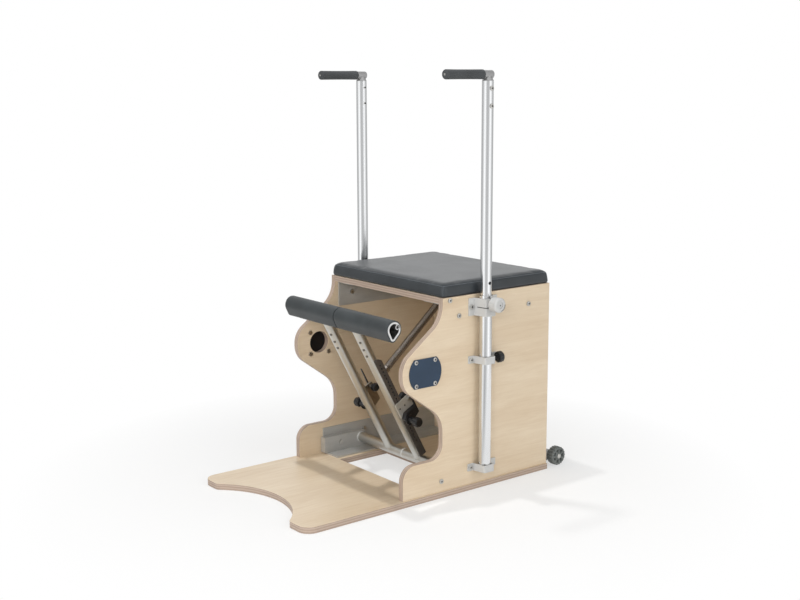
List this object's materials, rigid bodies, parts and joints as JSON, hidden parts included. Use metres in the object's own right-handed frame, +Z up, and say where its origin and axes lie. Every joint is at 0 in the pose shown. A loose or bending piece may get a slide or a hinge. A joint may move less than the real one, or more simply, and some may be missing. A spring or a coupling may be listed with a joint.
{
  "type": "pilates chair",
  "caption": "Plywood box chair with a padded seat, sprung foot pedals on long arms, height-set side handles with grips, and rear transport wheels",
  "frame": {"origin": "on the floor under the middle of the footprint, wheels and base tips included", "axes": "+Z up, -Y towards the pedals and the front step, +X the chair's right side in the picture"},
  "size_m": [0.7362, 1.005, 1.25],
  "materials": {
    "birch_ply": "clear lacquer, satin",
    "seat_vinyl": "soft satin vinyl",
    "grey_steel": "grey coat",
    "zinc_steel": "zinc plated",
    "white_nylon": "matte",
    "navy_plate": "satin blue",
    "pale_bracket": "light grey coat",
    "aluminium": "bright anodised",
    "soft_grip": "matte foam skin",
    "pale_knob": "light grey moulding",
    "black_plastic": "moulded",
    "champagne_aluminium": "satin anodised",
    "dark_rail": "dark coat",
    "carriage_plate": "satin",
    "spring_steel": "bright wire",
    "wheel_rubber": "grey moulded"
  },
  "bodies": {
    "frame": {"base_board": "birch_ply", "left_side_panel": "birch_ply", "right_side_panel": "birch_ply", "seat_board": "birch_ply", "back_panel": "birch_ply", "seat_cushion": "seat_vinyl", "base_angles": "grey_steel", "seat_angles": "grey_steel", "axle_blocks": "grey_steel", "pedal_axle": "zinc_steel", "axle_washers": "white_nylon", "spring_anchor_bar": "zinc_steel", "cover_plates": "navy_plate", "cover_plate_screws": "zinc_steel", "frame_bolts": "zinc_steel", "bracket_bolts": "zinc_steel", "top_pole_brackets": "pale_bracket", "mid_pole_brackets": "pale_bracket", "foot_pole_brackets": "pale_bracket", "left_pole_tube": "aluminium", "right_pole_tube": "aluminium", "tube_collars": "aluminium", "wheel_brackets": "grey_steel", "wheel_bolts": "zinc_steel"},
    "left_handle": {"left_upper_pole": "aluminium", "left_elbow": "aluminium", "left_grip": "soft_grip", "left_pole_screws": "zinc_steel"},
    "left_index_knob": {"left_index_knob": "pale_knob"},
    "left_clamp_knob": {"left_clamp_knob": "black_plastic"},
    "left_pedal": {"left_pedal_arm": "champagne_aluminium", "left_spring_rail": "dark_rail", "left_bar_core": "champagne_aluminium", "left_bar_cover": "soft_grip", "left_carriage": "carriage_plate", "left_carriage_clip": "black_plastic", "left_plunger_body": "zinc_steel"},
    "left_pull_knob": {"left_pull_knob": "black_plastic"},
    "left_spring_pin": {"left_spring_pin": "black_plastic"},
    "left_spring": {"left_spring": "spring_steel"},
    "left_spring_end": {"left_spring_cap": "spring_steel"},
    "left_wheel": {"left_wheel": "wheel_rubber"},
    "right_handle": {"right_upper_pole": "aluminium", "right_elbow": "aluminium", "right_grip": "soft_grip", "right_pole_screws": "zinc_steel"},
    "right_index_knob": {"right_index_knob": "pale_knob"},
    "right_clamp_knob": {"right_clamp_knob": "black_plastic"},
    "right_pedal": {"right_pedal_arm": "champagne_aluminium", "right_spring_rail": "dark_rail", "right_bar_core": "champagne_aluminium", "right_bar_cover": "soft_grip", "right_carriage": "carriage_plate", "right_carriage_clip": "black_plastic", "right_plunger_body": "zinc_steel"},
    "right_pull_knob": {"right_pull_knob": "black_plastic"},
    "right_spring_pin": {"right_spring_pin": "black_plastic"},
    "right_spring": {"right_spring": "spring_steel"},
    "right_spring_end": {"right_spring_cap": "spring_steel"},
    "right_wheel": {"right_wheel": "wheel_rubber"}
  },
  "joints": [
    {"name": "left_pedal_hinge", "type": "hinge", "parent": "frame", "child": "left_pedal", "pos_m": [-0.075, 0.0675, 0.052], "axis": [1, 0, 0], "range_deg": [0, 57], "stiffness_Nm_per_rad": 30, "springref_deg": -28.65},
    {"name": "left_spring_swing", "type": "hinge", "parent": "frame", "child": "left_spring", "pos_m": [-0.0873, 0.3305, 0.545], "axis": [1, 0, 0], "range_deg": [0, 1.5]},
    {"name": "left_spring_stretch", "type": "slide", "parent": "left_spring", "child": "left_spring_end", "axis": [0, -0.7583, -0.6519], "range_m": [0, 0.21145], "deforming": ["left_spring"]},
    {"name": "left_handle_slide", "type": "slide", "parent": "frame", "child": "left_handle", "axis": [0, 0, 1], "range_m": [-0.06, 0.18]},
    {"name": "left_index_pull", "type": "slide", "parent": "frame", "child": "left_index_knob", "axis": [-1, 0, 0], "range_m": [0, 0.008], "stiffness_N_per_m": 600, "springref_m": -0.01},
    {"name": "left_clamp_turn", "type": "hinge", "parent": "frame", "child": "left_clamp_knob", "pos_m": [-0.3035, 0.1325, 0.4035], "axis": [0, 1, 0], "continuous": true},
    {"name": "left_pull_release", "type": "slide", "parent": "left_pedal", "child": "left_pull_knob", "axis": [-1, 0, 0], "range_m": [0, 0.007], "stiffness_N_per_m": 600, "springref_m": -0.01},
    {"name": "left_pin_turn", "type": "hinge", "parent": "left_pedal", "child": "left_spring_pin", "pos_m": [-0.075, 0.0038, 0.26416], "axis": [1, 0, 0], "continuous": true},
    {"name": "left_wheel_spin", "type": "hinge", "parent": "frame", "child": "left_wheel", "pos_m": [-0.2685, 0.4725, 0.031], "axis": [1, 0, 0], "continuous": true},
    {"name": "right_pedal_hinge", "type": "hinge", "parent": "frame", "child": "right_pedal", "pos_m": [0.075, 0.0675, 0.052], "axis": [1, 0, 0], "range_deg": [0, 57], "stiffness_Nm_per_rad": 30, "springref_deg": -28.65},
    {"name": "right_spring_swing", "type": "hinge", "parent": "frame", "child": "right_spring", "pos_m": [0.0873, 0.3305, 0.545], "axis": [1, 0, 0], "range_deg": [0, 1.5]},
    {"name": "right_spring_stretch", "type": "slide", "parent": "right_spring", "child": "right_spring_end", "axis": [0, -0.7583, -0.6519], "range_m": [0, 0.21145], "deforming": ["right_spring"]},
    {"name": "right_handle_slide", "type": "slide", "parent": "frame", "child": "right_handle", "axis": [0, 0, 1], "range_m": [-0.06, 0.18]},
    {"name": "right_index_pull", "type": "slide", "parent": "frame", "child": "right_index_knob", "axis": [1, 0, 0], "range_m": [0, 0.008], "stiffness_N_per_m": 600, "springref_m": -0.01},
    {"name": "right_clamp_turn", "type": "hinge", "parent": "frame", "child": "right_clamp_knob", "pos_m": [0.3035, 0.1325, 0.4035], "axis": [0, 1, 0], "continuous": true},
    {"name": "right_pull_release", "type": "slide", "parent": "right_pedal", "child": "right_pull_knob", "axis": [1, 0, 0], "range_m": [0, 0.007], "stiffness_N_per_m": 600, "springref_m": -0.01},
    {"name": "right_pin_turn", "type": "hinge", "parent": "right_pedal", "child": "right_spring_pin", "pos_m": [0.075, 0.0038, 0.26416], "axis": [1, 0, 0], "continuous": true},
    {"name": "right_wheel_spin", "type": "hinge", "parent": "frame", "child": "right_wheel", "pos_m": [0.2685, 0.4725, 0.031], "axis": [1, 0, 0], "continuous": true}
  ],
  "couplings": [
    {"joint": "left_spring_swing", "follows": "left_pedal_hinge", "ratio": 0.02614},
    {"joint": "left_spring_stretch", "follows": "left_pedal_hinge", "m_per_rad": 0.21205},
    {"joint": "right_spring_swing", "follows": "right_pedal_hinge", "ratio": 0.02614},
    {"joint": "right_spring_stretch", "follows": "right_pedal_hinge", "m_per_rad": 0.21205}
  ]
}
